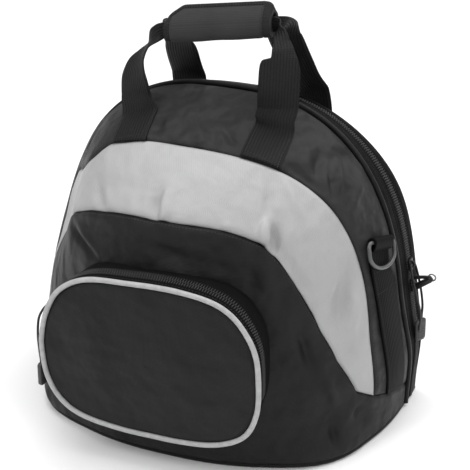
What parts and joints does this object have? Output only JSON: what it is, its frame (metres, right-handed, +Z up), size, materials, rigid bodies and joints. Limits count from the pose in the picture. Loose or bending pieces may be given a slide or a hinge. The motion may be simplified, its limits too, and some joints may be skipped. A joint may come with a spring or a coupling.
{
  "type": "motorcycle tank bag",
  "caption": "Dome-shaped motorcycle bag with flat back, arched zip gusset, silver yoke, zipped front pocket, webbing carry handles in a padded wrap and a D-ring on a side strap.",
  "frame": {"origin": "on the surface that the flat base rests on, in the middle of its width, 107 mm behind the base's front edge", "axes": "+X to the bag's right as a viewer facing its front sees it, +Y from the front towards the flat back, +Z up"},
  "size_m": [0.4079, 0.2658, 0.4288],
  "materials": {
    "black_cloth": "coated woven nylon with a faint sheen",
    "silver_cloth": "silver woven polyester, satin",
    "dark_piping": "cloth-covered piping cord",
    "grey_piping": "grey cloth-covered piping cord",
    "zip_tape": "woven zip tape with a nylon coil",
    "webbing": "ribbed polypropylene webbing and cord",
    "ring_plastic": "grey moulded, satin",
    "slider_metal": "black painted",
    "pull_plastic": "dark grey moulded, matt"
  },
  "bodies": {
    "bag": {"upper_panel": "black_cloth", "silver_band": "silver_cloth", "lower_panel": "black_cloth", "base_panel": "black_cloth", "base_piping": "dark_piping", "back_panel": "black_cloth", "seam_piping": "dark_piping", "gusset_front": "black_cloth", "main_zip": "zip_tape", "gusset_back": "black_cloth", "pocket_face": "black_cloth", "pocket_piping": "grey_piping", "pocket_gusset_front": "black_cloth", "pocket_gusset_back": "black_cloth", "pocket_zip": "zip_tape", "handle_front": "webbing", "handle_back": "webbing", "handle_wrap": "black_cloth", "side_strap": "webbing", "main_slider_upper": "slider_metal", "upper_pull": "pull_plastic", "main_slider_lower": "slider_metal", "lower_pull_cord": "webbing", "lower_pull_tab": "pull_plastic", "pocket_slider": "slider_metal", "pocket_pull_cord": "webbing", "pocket_pull_tab": "pull_plastic"},
    "ring": {"d_ring": "ring_plastic"}
  },
  "joints": [
    {"name": "ring_swing", "type": "hinge", "parent": "bag", "child": "ring", "pos_m": [0.17382, 0.02243, 0.21], "axis": [-0.2658, -0.9356, 0.2322], "range_deg": [0, 155]}
  ]
}
